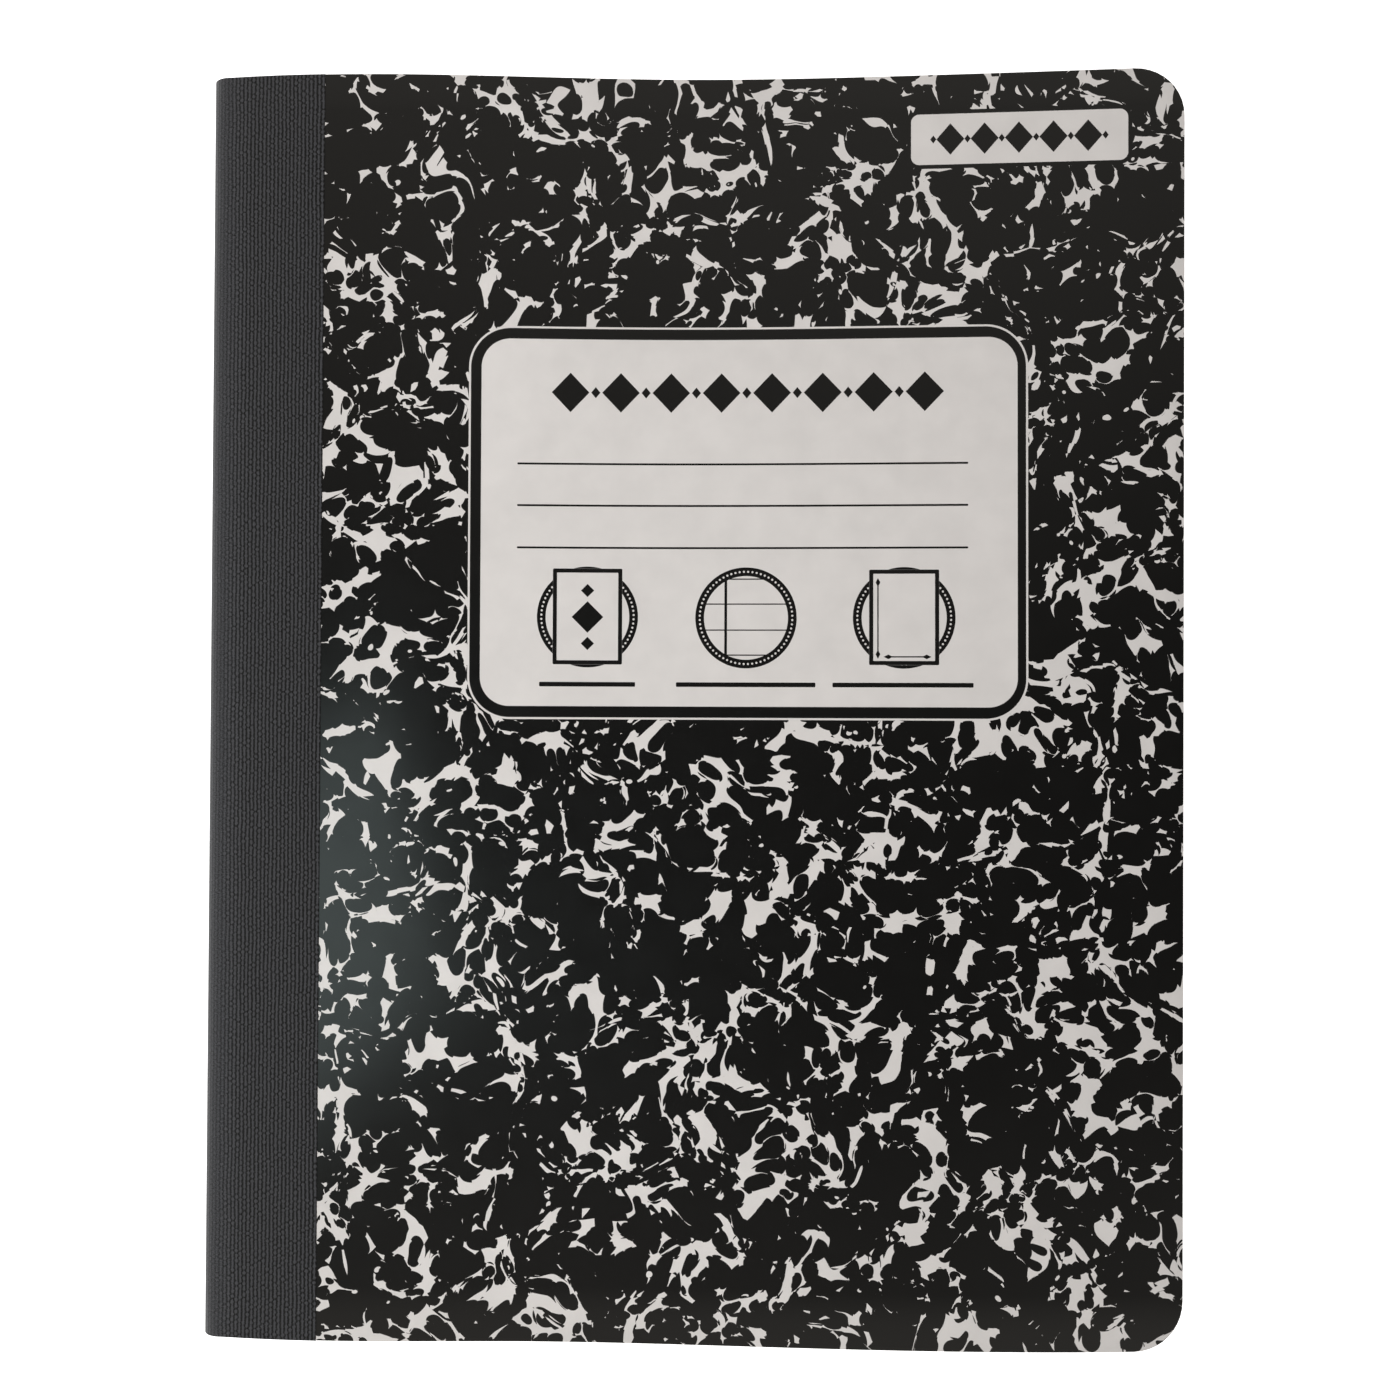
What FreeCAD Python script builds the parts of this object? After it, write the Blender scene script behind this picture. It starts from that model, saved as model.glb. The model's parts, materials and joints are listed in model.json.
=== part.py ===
import FreeCAD, Part

import math
import os

# Composition notebook lying closed on its back cover.
# Millimetres. The spine runs along Y at the -X side, the front cover faces +Z, the head is at +Y.
# The origin is the middle of the footprint, on the surface that the book lies on.

# Trimmed size of the book, spine to fore edge and head to tail
book_width = 190.5
book_height = 247.65
corner_radius = 9.5

# Leaves, folded in the middle and nested
leaf_count = 80
leaf_thickness = 0.08

# Lines where the leaves part at the head, fore edge and tail: how many round the fold, besides the middle one
parting_count = 3
parting_width = 0.15
parting_depth = 0.3

# Cover board and the cloth tape over the spine
board_thickness = 0.45
tape_width = 50.8
tape_thickness = 0.22
tape_press = 0.08

# Free space between the leaves and the cover, and the slit at each cover's hinge line
page_gap = 0.25
hinge_slit = 0.1
hinge_lift = 0.15

# Front cover's profile at the head: distance from the spine, and rise above its hinge line
head_crest_x = 34.0
head_crest_rise = 2.4
head_dip_x = 92.0
head_dip_rise = 0.6
head_swell_x = 140.0
head_swell_rise = 3.4
head_edge_rise = 8.4

# Front cover's profile at the tail
tail_crest_x = 30.0
tail_crest_rise = 2.2
tail_dip_x = 62.0
tail_dip_rise = 2.2
tail_swell_x = 116.0
tail_swell_rise = 5.3
tail_edge_rise = 6.4

# Lock stitch along the fold
stitch_pitch = 11.0
stitch_end_margin = 3.0
thread_diameter = 0.4
thread_flat_width = 0.6
thread_flat_thickness = 0.2
thread_clearance = 0.04

# Worked out from the sizes above
half_width = book_width / 2
half_height = book_height / 2
tape_proud = tape_thickness - tape_press
block_radius = leaf_count * leaf_thickness / 2
spine_radius = block_radius + page_gap + board_thickness + tape_proud
spine_x = -half_width
hinge_x = spine_x + spine_radius
mid_z = spine_radius
front_z = 2 * spine_radius - tape_proud
back_z = tape_proud
tape_reach = (tape_width - math.pi * spine_radius) / 2
tape_edge_x = hinge_x + tape_reach

HEAD_PROFILE = [
    (0.0, 0.0),
    (head_crest_x - spine_radius, head_crest_rise),
    (head_dip_x - spine_radius, head_dip_rise),
    (head_swell_x - spine_radius, head_swell_rise),
    (book_width - spine_radius, head_edge_rise),
]
TAIL_PROFILE = [
    (0.0, 0.0),
    (tail_crest_x - spine_radius, tail_crest_rise),
    (tail_dip_x - spine_radius, tail_dip_rise),
    (tail_swell_x - spine_radius, tail_swell_rise),
    (book_width - spine_radius, tail_edge_rise),
]

# Height range that every trimming shape covers
trim_low = -spine_radius
trim_high = front_z + max(head_crest_rise, head_edge_rise, tail_crest_rise, tail_edge_rise) + spine_radius


def point(x, y, z):
    return FreeCAD.Vector(x, y, z)


def line(a, b):
    return Part.LineSegment(a, b).toShape()


def cover_curve(profile, shift, y):
    """The front cover's profile at one end of the book, moved up by shift."""
    curve = Part.BSplineCurve()
    curve.interpolate([point(hinge_x + along, y, front_z + rise + shift) for along, rise in profile])
    return curve


def cover_layer(low, high):
    """A sheet that follows the front cover, from the shift low to the shift high, hinge line to fore edge."""
    sections = []
    for profile, y in ((HEAD_PROFILE, half_height), (TAIL_PROFILE, -half_height)):
        lower = cover_curve(profile, low, y)
        upper = cover_curve(profile, high, y)
        sections.append(
            Part.Wire(
                [
                    lower.toShape(),
                    line(lower.EndPoint, upper.EndPoint),
                    upper.toShape(),
                    line(upper.StartPoint, lower.StartPoint),
                ]
            )
        )
    return Part.makeLoft(sections, True, True)


def outline_prism(inset):
    """The book's outline seen from above, with trimmed fore-edge corners, as a tall prism moved in by inset."""
    x_edge = half_width - inset
    y_edge = half_height - inset
    radius = corner_radius - inset
    arc_x = x_edge - radius
    arc_y = y_edge - radius
    diagonal = radius * math.sqrt(0.5)
    head_arc = Part.Arc(
        point(arc_x, y_edge, trim_low),
        point(arc_x + diagonal, arc_y + diagonal, trim_low),
        point(x_edge, arc_y, trim_low),
    )
    tail_arc = Part.Arc(
        point(x_edge, -arc_y, trim_low),
        point(arc_x + diagonal, -arc_y - diagonal, trim_low),
        point(arc_x, -y_edge, trim_low),
    )
    edges = [
        line(point(spine_x, y_edge, trim_low), point(arc_x, y_edge, trim_low)),
        head_arc.toShape(),
        line(point(x_edge, arc_y, trim_low), point(x_edge, -arc_y, trim_low)),
        tail_arc.toShape(),
        line(point(arc_x, -y_edge, trim_low), point(spine_x, -y_edge, trim_low)),
        line(point(spine_x, -y_edge, trim_low), point(spine_x, y_edge, trim_low)),
    ]
    return Part.Face(Part.Wire(edges)).extrude(point(0, 0, trim_high - trim_low))


def trimmed_outline(x_low, x_high):
    """The stretch of the outline prism between two places along X."""
    strip = Part.makeBox(
        x_high - x_low, book_height, trim_high - trim_low, point(x_low, -half_height, trim_low)
    )
    return outline_prism(0.0).common(strip)


def spine_wrap(outer_radius, inner_radius):
    """A layer wrapped round the fold, a half ring from the back hinge line to the front one."""
    ends = []
    for radius in (outer_radius, inner_radius):
        ends.append(
            (
                point(hinge_x, -half_height, mid_z + radius),
                point(hinge_x - radius, -half_height, mid_z),
                point(hinge_x, -half_height, mid_z - radius),
            )
        )
    outer, inner = ends
    section = Part.Wire(
        [
            Part.Arc(*outer).toShape(),
            line(outer[2], inner[2]),
            Part.Arc(*inner).toShape(),
            line(inner[0], outer[0]),
        ]
    )
    return Part.Face(section).extrude(point(0, book_height, 0))


def stitch_places():
    """Y of each needle hole along the fold."""
    usable = book_height - 2 * stitch_end_margin
    count = int(usable / stitch_pitch) + 1
    first = -stitch_pitch * (count - 1) / 2
    return [first + stitch_pitch * k for k in range(count)]


# X of the outer thread's run under the tape, of the inner thread's run in the middle of the fold,
# and of the place between them where the two threads cross
outer_run_x = spine_x + tape_thickness + thread_clearance
inner_run_x = hinge_x + thread_diameter / 2
knot_x = (outer_run_x + inner_run_x) / 2


def thread_length(start, along, length, radius, corner_way):
    """A straight length of thread or the hole that it passes: six sides, with two corners on the line corner_way."""
    side_way = along.cross(corner_way)
    corners = []
    for k in range(7):
        turn = math.radians(60 * k)
        corners.append(start + corner_way * (radius * math.cos(turn)) + side_way * (radius * math.sin(turn)))
    return Part.Face(Part.makePolygon(corners)).extrude(along * length)


def flat_run(clearance):
    """The outer thread's run, pressed flat under the tape, or the groove that holds it."""
    return Part.makeBox(
        thread_flat_thickness + 2 * clearance,
        book_height,
        thread_flat_width + 2 * clearance,
        point(outer_run_x - clearance, -half_height, mid_z - thread_flat_width / 2 - clearance),
    )


def inner_run(clearance):
    """The inner thread's run in the middle of the fold, or the channel that holds it."""
    start = point(inner_run_x, -half_height, mid_z)
    return thread_length(start, point(0, 1, 0), book_height, thread_diameter / 2 + clearance, point(1, 0, 0))


def legs(x_low, x_high, clearance):
    """The thread's legs through the fold between two places along X, or the needle holes."""
    radius = thread_diameter / 2 + clearance
    return [
        thread_length(point(x_low, y, mid_z), point(1, 0, 0), x_high - x_low, radius, point(0, 0, 1))
        for y in stitch_places()
    ]


def leaf_curve(profile, y, offset):
    """One leaf seen from an end of the book, at a distance above or below the middle of the fold.

    The lowest leaf lies flat, the highest follows the cover, and the rest fan out evenly between them.
    """
    share = 0.5 + offset / (2 * block_radius)
    curve = Part.BSplineCurve()
    curve.interpolate([point(hinge_x + along, y, mid_z + offset + share * rise) for along, rise in profile])
    return curve


def leaf_nest(radius):
    """The folded leaves that lie within a radius of the middle of the fold."""
    sections = []
    for profile, y in ((HEAD_PROFILE, half_height), (TAIL_PROFILE, -half_height)):
        upper = leaf_curve(profile, y, radius)
        lower = leaf_curve(profile, y, -radius)
        fold = Part.Arc(lower.StartPoint, point(hinge_x - radius, y, mid_z), upper.StartPoint)
        sections.append(
            Part.Wire(
                [
                    fold.toShape(),
                    upper.toShape(),
                    line(upper.EndPoint, lower.EndPoint),
                    lower.toShape(),
                ]
            )
        )
    return Part.makeLoft(sections, True, True)


def parting_lines():
    """The lines where leaves part, cut into the three trimmed edges and running round the fold at each end."""
    rim = outline_prism(0.0).cut(outline_prism(parting_depth))
    bands = [leaf_nest(parting_width / 2)]
    for k in range(parting_count):
        radius = block_radius * (k + 1) / (parting_count + 1)
        bands.append(leaf_nest(radius + parting_width / 2).cut(leaf_nest(radius - parting_width / 2)))
    return [band.common(rim) for band in bands]


def make_page_block():
    """All leaves as one solid: round at the fold, flat below, and under the cover's profile above."""
    block = leaf_nest(block_radius).common(outline_prism(0.0)).cut(parting_lines())
    return block.cut(inner_run(thread_clearance).fuse(legs(spine_x, inner_run_x, thread_clearance)))


def make_front_tape():
    strip = cover_layer(-tape_press, tape_proud)
    return strip.common(trimmed_outline(hinge_x + hinge_slit, tape_edge_x))


def make_front_cover(tape):
    board = cover_layer(-board_thickness, 0.0)
    return board.common(trimmed_outline(hinge_x + hinge_slit, half_width)).cut(tape)


def flat_strip(x_high, z_low, z_high):
    """A flat layer of the back, from its hinge line out to x_high."""
    x_low = hinge_x + hinge_slit
    slab = Part.makeBox(x_high - x_low, book_height, z_high - z_low, point(x_low, -half_height, z_low))
    return slab.common(trimmed_outline(x_low, x_high))


def make_back_tape():
    return flat_strip(tape_edge_x, 0.0, tape_thickness)


def make_back_cover(tape):
    return flat_strip(half_width, back_z, back_z + board_thickness).cut(tape)


def make_spine_tape():
    return spine_wrap(spine_radius, spine_radius - tape_thickness)


def make_cover_spine():
    """The cover board's strip round the fold, with the needle holes and the groove for the outer thread."""
    strip = spine_wrap(spine_radius - tape_thickness, block_radius + page_gap)
    return strip.cut(flat_run(thread_clearance).fuse(legs(outer_run_x, hinge_x, thread_clearance)))


def make_needle_thread():
    """The outer thread: a run under the tape with a leg down each needle hole to the crossing."""
    run = flat_run(0.0)
    return run.fuse(legs(outer_run_x + thread_flat_thickness / 2, knot_x, 0.0))


def make_bobbin_thread():
    """The inner thread: a run in the middle of the fold with a leg out to each crossing."""
    return inner_run(0.0).fuse(legs(knot_x, inner_run_x, 0.0))


def main():
    os.makedirs("parts", exist_ok=True)
    front_tape = make_front_tape()
    back_tape = make_back_tape()
    nodes = {
        "page_block": make_page_block(),
        "front_cover": make_front_cover(front_tape),
        "front_tape": front_tape,
        "back_cover": make_back_cover(back_tape),
        "back_tape": back_tape,
        "cover_spine": make_cover_spine(),
        "spine_tape": make_spine_tape(),
        "needle_thread": make_needle_thread(),
        "bobbin_thread": make_bobbin_thread(),
    }
    for name, shape in nodes.items():
        shape.exportStep(os.path.join("parts", name + ".step"))
        box = shape.BoundBox
        print(name, len(shape.Solids), shape.isValid(), round(shape.Volume, 1),
              [round(v, 2) for v in (box.XMin, box.XMax, box.YMin, box.YMax, box.ZMin, box.ZMax)])
    print("hinge axis x", round(hinge_x, 4), "front z", round(2 * spine_radius + hinge_lift, 4),
          "back z", round(-hinge_lift, 4), "tape edge x", round(tape_edge_x, 3))


main()
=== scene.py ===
"""Looks of a sewn composition notebook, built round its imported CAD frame."""

import bisect
import json
import math
import random
from functools import reduce

import bmesh
import bpy
from bpy.props import FloatProperty, FloatVectorProperty, IntProperty, PointerProperty
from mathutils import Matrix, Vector


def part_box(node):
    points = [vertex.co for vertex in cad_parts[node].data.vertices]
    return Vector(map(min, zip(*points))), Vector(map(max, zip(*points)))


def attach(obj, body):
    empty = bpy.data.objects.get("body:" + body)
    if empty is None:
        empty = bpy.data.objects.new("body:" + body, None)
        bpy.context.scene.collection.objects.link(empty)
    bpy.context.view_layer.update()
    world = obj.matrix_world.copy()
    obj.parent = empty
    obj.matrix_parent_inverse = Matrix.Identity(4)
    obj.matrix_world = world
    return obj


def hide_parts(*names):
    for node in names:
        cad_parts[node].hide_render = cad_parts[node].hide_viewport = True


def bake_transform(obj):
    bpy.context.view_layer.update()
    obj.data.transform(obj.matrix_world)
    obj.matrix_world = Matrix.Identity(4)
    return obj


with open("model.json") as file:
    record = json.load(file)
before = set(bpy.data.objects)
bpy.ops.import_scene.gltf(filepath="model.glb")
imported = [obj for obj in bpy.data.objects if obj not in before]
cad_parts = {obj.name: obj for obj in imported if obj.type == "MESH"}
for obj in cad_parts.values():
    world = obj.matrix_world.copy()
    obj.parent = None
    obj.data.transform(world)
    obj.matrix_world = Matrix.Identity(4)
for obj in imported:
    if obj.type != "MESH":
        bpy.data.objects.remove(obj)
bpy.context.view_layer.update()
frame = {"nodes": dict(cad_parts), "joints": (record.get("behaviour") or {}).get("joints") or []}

bl_info = {
    "name": "Composition notebook",
    "version": (1, 0, 0),
    "blender": (4, 5, 0),
    "location": "View3D > Sidebar > Notebook",
    "description": "Cards, spine cloth, leaves and print of a sewn composition notebook",
    "category": "Object",
}

MM = 0.001

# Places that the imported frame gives, in metres
COVER_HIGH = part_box("front_cover")[1]
SPINE_LOW, SPINE_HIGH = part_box("spine_tape")
CARD_LOW, CARD_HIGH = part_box("cover_spine")
EDGE_X, HEAD_Y = COVER_HIGH.x, COVER_HIGH.y
TAPE_EDGE_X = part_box("front_tape")[1].x
HINGE_X = frame["joints"][0]["pos_m"][0]
MID_Z = (SPINE_LOW.z + SPINE_HIGH.z) / 2
TAPE_RADIUS = (SPINE_HIGH.z - SPINE_LOW.z) / 2
CARD_RADIUS = (CARD_HIGH.z - CARD_LOW.z) / 2
FOLD = Vector((HINGE_X, 0, MID_Z))

# The cloth is pressed this far into the card, so the card stands higher past the cloth's edge
PRESS = 0.08 * MM
CARD_THICKNESS = 0.45 * MM
PAGE_GAP = 0.25 * MM
LEAF_RADIUS = CARD_RADIUS + PRESS - CARD_THICKNESS - PAGE_GAP

# Past a hinge line the cloth and the card have closer columns of faces for this far
BEND_REACH = 1.0 * MM

# The sewing thread lies in a groove of this half width at the spine's apex
GROOVE = 0.36 * MM

# The floor lies as low as the back cover reaches when it's folded right back
FLOOR_Z = -0.92 * MM

# Faces: steps round the fold and in each bend, and the spacing of columns and rows
FOLD_STEPS, BEND_STEPS, CORNER_STEPS = 24, 8, 10
CARD_GRID = (4.5 * MM, 11 * MM)
SHEET_FOLD_STEPS, SHEET_CORNER_STEPS = 12, 6
SHEET_GRID = (6.5 * MM, 62 * MM)
SHARP_ANGLE = 50


def srgb(code):
    """Linear colour of an sRGB hex code."""
    parts = [int(code[k : k + 2], 16) / 255 for k in (0, 2, 4)]
    return tuple(p / 12.92 if p <= 0.04045 else ((p + 0.055) / 1.055) ** 2.4 for p in parts)


def length_value(name, size, description):
    return FloatProperty(name=name, description=description, default=size, unit="LENGTH", precision=5)


def colour_value(name, code, description):
    return FloatVectorProperty(
        name=name, description=description, default=srgb(code), subtype="COLOR", size=3, min=0, max=1
    )


class NotebookSizes(bpy.types.PropertyGroup):
    """Sizes of the notebook that a user may change."""

    corner_radius: length_value("Corner radius", 9.5 * MM, "Rounding of the two fore-edge corners")
    rim_softness: length_value("Rim softness", 0.05 * MM, "Rounding of the cut edges of card and cloth")
    sheet_count: IntProperty(
        name="Folded sheets", description="Nested sheets, two leaves each", default=40, min=2
    )
    paper_thickness: length_value("Paper thickness", 0.068 * MM, "Thickness of one leaf")
    rule_pitch: length_value("Rule pitch", 7.1 * MM, "Distance between two writing rules")
    margin_width: length_value("Margin", 32 * MM, "Distance of the margin line from the fold")
    rib_pitch: length_value("Rib pitch", 0.78 * MM, "Distance between two warp ribs of the cloth")
    bead_pitch: length_value("Bead pitch", 1.05 * MM, "Distance between two weft crossings on a rib")


class NotebookColours(bpy.types.PropertyGroup):
    """Colours of the notebook that a user may change."""

    ink: colour_value("Ink", "0A0A0A", "Black offset ink on the cover")
    print_white: colour_value("Print white", "E3DEDA", "Coated white that shows between the ink")
    card: colour_value("Card", "DAD6CC", "Uncoated inside of the cover")
    cloth: colour_value("Cloth", "464649", "Warp of the spine cloth")
    # Near black between the ribs: painted shade in the grooves, which the cloth's grain mixes in
    cloth_groove_shade: colour_value("Cloth grooves", "050506", "Grooves between the ribs of the cloth")
    paper: colour_value("Paper", "E6E4DD", "Writing paper")
    rule: colour_value("Rules", "9DB4D6", "Writing rules")
    margin: colour_value("Margin line", "DF9AA2", "Margin line")
    thread: colour_value("Thread", "E2DFD6", "Sewing thread")


def add(tree, kind, *values, out=0, inputs=None, **settings):
    """Adds a shader node with its settings, fills its inputs by order or by name, returns one output."""
    node = tree.nodes.new("ShaderNode" + kind)
    for name, value in settings.items():
        setattr(node, name, value)
    for key, value in [*enumerate(values), *(inputs or {}).items()]:
        if isinstance(value, bpy.types.NodeSocket):
            tree.links.new(value, node.inputs[key])
        else:
            node.inputs[key].default_value = value
    return node.outputs[out] if len(node.outputs) else node


def new_material(name):
    """An empty node material and its tree."""
    material = bpy.data.materials.new(name)
    material.use_nodes = True
    material.node_tree.nodes.clear()
    return material, material.node_tree


def finish(tree, height, depth, **settings):
    """Ends a material in its shader, with a bump from a height in 0 to 1 that is depth metres high."""
    named = {key.replace("_", " "): value for key, value in settings.items()}
    named["Normal"] = add(
        tree, "Bump", inputs={"Strength": 1.0, "Distance": depth, "Height": height}
    )
    add(tree, "OutputMaterial", add(tree, "BsdfPrincipled", inputs=named))


def page_place(tree, shift=(0, 0, 0)):
    """Place on the flat card or page in millimetres, from the object's own coordinates."""
    here = add(tree, "TexCoord", out=3)
    flat = add(tree, "VectorMath", here, (1000, 1000, 0), operation="MULTIPLY")
    return add(tree, "VectorMath", flat, shift, operation="ADD")


# Print. Every shape of the print is a distance in mm from its edge, less than 0 inside.

def box_edge(tree, place, centre, half, radius):
    """Distance from an upright box with round corners, given by its centre and half sizes."""
    away = add(tree, "VectorMath", place, (*centre, 0), operation="SUBTRACT")
    away = add(tree, "VectorMath", away, operation="ABSOLUTE")
    away = add(tree, "VectorMath", away, (half[0] - radius, half[1] - radius, 0), operation="SUBTRACT")
    away = add(tree, "VectorMath", away, (0, 0, 0), operation="MAXIMUM")
    length = add(tree, "VectorMath", away, operation="LENGTH", out=1)
    return add(tree, "Math", length, radius, operation="SUBTRACT")


def lozenge_edge(tree, place, centre, half):
    """Distance from an upright lozenge."""
    away = add(tree, "VectorMath", place, (*centre, 0), operation="SUBTRACT")
    away = add(tree, "VectorMath", away, operation="ABSOLUTE")
    slant = math.hypot(*half)
    away = add(
        tree, "VectorMath", away, (half[1] / slant, half[0] / slant, 0), operation="DOT_PRODUCT", out=1
    )
    return add(tree, "Math", away, half[0] * half[1] / slant, operation="SUBTRACT")


def lozenge_row(tree, place, middle, pitch, count, half):
    """Distances from the lozenges of a row."""
    x, y = middle
    first = (1 - count) / 2
    return [
        lozenge_edge(tree, place, (x + pitch * (first + k), y), half) for k in range(count)
    ]


def band_edge(tree, distance, middle, half):
    """Distance from a band, twice half wide, along the line where a distance has the middle value."""
    away = add(tree, "Math", distance, middle, operation="SUBTRACT")
    away = add(tree, "Math", away, operation="ABSOLUTE")
    return add(tree, "Math", away, half, operation="SUBTRACT")


def join_edges(tree, distances):
    """Distance from several shapes together."""
    return reduce(lambda a, b: add(tree, "Math", a, b, operation="MINIMUM"), distances)


def cut_edge(tree, distance, cutter):
    """Distance from a shape with another one cut out of it."""
    other = add(tree, "Math", cutter, -1.0, operation="MULTIPLY")
    return add(tree, "Math", distance, other, operation="MAXIMUM")


def inked(tree, distance):
    """1 inside a shape and 0 outside, over the 0.06 mm that ink spreads in the coating."""
    return add(
        tree, "MapRange", distance, 0.03, -0.03, 0.0, 1.0, interpolation_type="SMOOTHSTEP", clamp=True
    )


# Roundels: radius and half width of the rim, radius and number of its beads, and the three centres
ROUNDEL_RIM = (9.05, 0.85)
BEAD_RADIUS = 0.2
ROUNDEL_BEADS = 68
ROUNDELS = ((-20.1, 17.2), (10.95, 17.1), (41.65, 17.1))


def roundel_rim(tree, place, centre):
    """Distance from a black ring with a row of white beads in it, and from the ring's centre."""
    away = add(tree, "VectorMath", place, (*centre, 0), operation="SUBTRACT")
    radius = add(tree, "VectorMath", away, operation="LENGTH", out=1)
    ring = band_edge(tree, radius, *ROUNDEL_RIM)
    apart = add(tree, "SeparateXYZ", away)
    turn = add(tree, "Math", apart.node.outputs[1], apart, operation="ARCTAN2")
    step = 2 * math.pi / ROUNDEL_BEADS
    share = add(tree, "Math", add(tree, "Math", turn, step, operation="DIVIDE"), operation="FRACT")
    along = add(tree, "Math", share, 0.5, operation="SUBTRACT")
    along = add(tree, "Math", along, step * ROUNDEL_RIM[0], operation="MULTIPLY")
    across = add(tree, "Math", radius, ROUNDEL_RIM[0], operation="SUBTRACT")
    bead = add(tree, "CombineXYZ", along, across, 0.0)
    bead = add(tree, "VectorMath", bead, operation="LENGTH", out=1)
    bead = add(tree, "Math", bead, BEAD_RADIUS, operation="SUBTRACT")
    return cut_edge(tree, ring, bead), radius


# Boxes: centre, half sizes and corner radius
LABEL_FRAME = ((10.98, 35.75), (54.52, 38.63), 8.2)
LABEL_FIELD = ((11.2, 35.8), (52.28, 36.1), 5.7)
LABEL_OUTLINE = 0.4
PLATE = ((63.8, 111.0), (20.8, 5.0), 1.6)
PLATE_MARGIN = 0.8


def label_ink(tree, place):
    """Distance from all ink inside the label's field: ornament, writing lines and three roundels."""
    # Ornament at the head of the label: a row of lozenges, large and small by turns
    shapes = lozenge_row(tree, place, (11.0, 61.4), 9.9, 8, (3.7, 3.9))
    shapes += lozenge_row(tree, place, (11.0, 61.4), 9.9, 7, (0.9, 1.1))
    # Writing lines
    for y in (47.3, 39.1, 30.8):
        shapes.append(box_edge(tree, place, (10.0, y), (44.0, 0.2), 0.2))
    # Plain rules below the roundels
    for x, half in ((-20.1, 9.4), (10.9, 13.6), (41.4, 13.6)):
        shapes.append(box_edge(tree, place, (x, 4.0), (half, 0.45), 0.2))
    # Outer roundels: a page that covers the rim
    rims = []
    for index, page_x, page_half in ((0, -20.1, (6.8, 9.4)), (2, 41.65, (6.75, 9.3))):
        rim, _ = roundel_rim(tree, place, ROUNDELS[index])
        middle = (page_x, ROUNDELS[index][1] + 0.1)
        page = box_edge(tree, place, middle, page_half, 0.25)
        inside = box_edge(tree, place, middle, [size - 0.8 for size in page_half], 0.1)
        rims.append(cut_edge(tree, rim, page))
        shapes.append(cut_edge(tree, page, inside))
    shapes += rims
    # On the left page a small stack of lozenges, on the right page its height and width
    for lift, half in ((-5.2, 1.3), (0.0, 3.1), (5.2, 1.3)):
        shapes.append(lozenge_edge(tree, place, (-20.1, 17.2 + lift), (half, half)))
    shapes.append(box_edge(tree, place, (36.6, 17.0), (0.13, 7.0), 0.13))
    shapes.append(box_edge(tree, place, (42.3, 9.5), (3.7, 0.13), 0.13))
    for spot, half in (
        ((36.6, 24.0), (0.45, 0.9)), ((36.6, 10.0), (0.45, 0.9)),
        ((38.6, 9.5), (0.9, 0.45)), ((46.0, 9.5), (0.9, 0.45)),
    ):
        shapes.append(lozenge_edge(tree, place, spot, half))
    # Middle roundel: a ruled page with its margin line
    rim, radius = roundel_rim(tree, place, ROUNDELS[1])
    rules = [box_edge(tree, place, (7.0, 17.25), (0.27, 7.5), 0.1)]
    for x, y, half in ((12.6, 24.7, 5.6), (10.95, 19.8, 9.0), (10.95, 14.7, 9.0), (12.6, 9.8, 5.6)):
        rules.append(box_edge(tree, place, (x, y), (half, 0.12), 0.12))
    within = add(tree, "Math", radius, 8.4, operation="SUBTRACT")
    rules = add(tree, "Math", join_edges(tree, rules), within, operation="MAXIMUM")
    return join_edges(tree, [*shapes, rim, rules])


# Marbling, in millimetres. White chips gather in clusters, round drops of ink bite into them, and small
# shards, torn veins and specks lie between.
# Swirls of the whole pattern: size and reach of each
WARPS = ((14.0, 9.0), (5.0, 0.8))
# Bits that the skin of colour tears into: size, and how far they slip
TEARS = (3.0, 1.3)
# Chips and shards: size, usual share of the cells, its change, and the size of a cluster
CHIPS = (5.2, 0.55, 1.8, 12.0)
SHARDS = (2.8, 0.42, 2.0, 7.0)
SHARD_CRACK = 0.36
# Veins: size of the cells, usual half width, its change, and the length of a swelling
VEINS = (28.0, 0.6, 3.0, 10.0)
# Drops: spacing, least and greatest radius
CHIP_BITES = ((3.8, 0.8, 2.15), (9.0, 0.0, 3.9))
VEIN_BITES = (3.3, 0.2, 1.3)
SPECKS = (4.0, -2.2, 1.0)
SPECK_BITES = (2.2, 0.2, 1.0)
# Every edge draws back by this, so hairlines are lost
HAIRLINE = 0.4
# Where the front and the back cut their pieces out of the endless pattern
FRONT_SHIFT, BACK_SHIFT = (97, 141, 0), (411, 263, 0)


def drops(tree, place, size, least, most):
    """Distance from round drops, one to a cell of a size, with a radius between least and most."""
    near = add(
        tree, "TexVoronoi", inputs={"Vector": place, "Scale": 1 / size}, voronoi_dimensions="2D"
    ).node
    chance = add(tree, "SeparateColor", near.outputs["Color"], out=1)
    radius = add(tree, "Math", chance, least - most, -least, operation="MULTIPLY_ADD")
    return add(tree, "Math", near.outputs["Distance"], size, radius, operation="MULTIPLY_ADD")


def chips(tree, place, drift, size, usual, change, patch):
    """Distance from many-sided chips, which fill the usual share of the cells and more in a cluster."""
    near = add(
        tree, "TexVoronoi", inputs={"Vector": drift, "Scale": 1 / size}, voronoi_dimensions="2D"
    ).node
    chance = add(tree, "SeparateColor", near.outputs["Color"])
    crowd = add(
        tree, "TexNoise", inputs={"Vector": place, "Scale": 1 / patch, "Detail": 1.0},
        noise_dimensions="2D",
    )
    crowd = add(tree, "Math", crowd, -change, change / 2 - usual, operation="MULTIPLY_ADD")
    bare = add(tree, "Math", chance, crowd, operation="ADD")
    return add(tree, "Math", bare, 50.0, operation="MULTIPLY")


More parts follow.
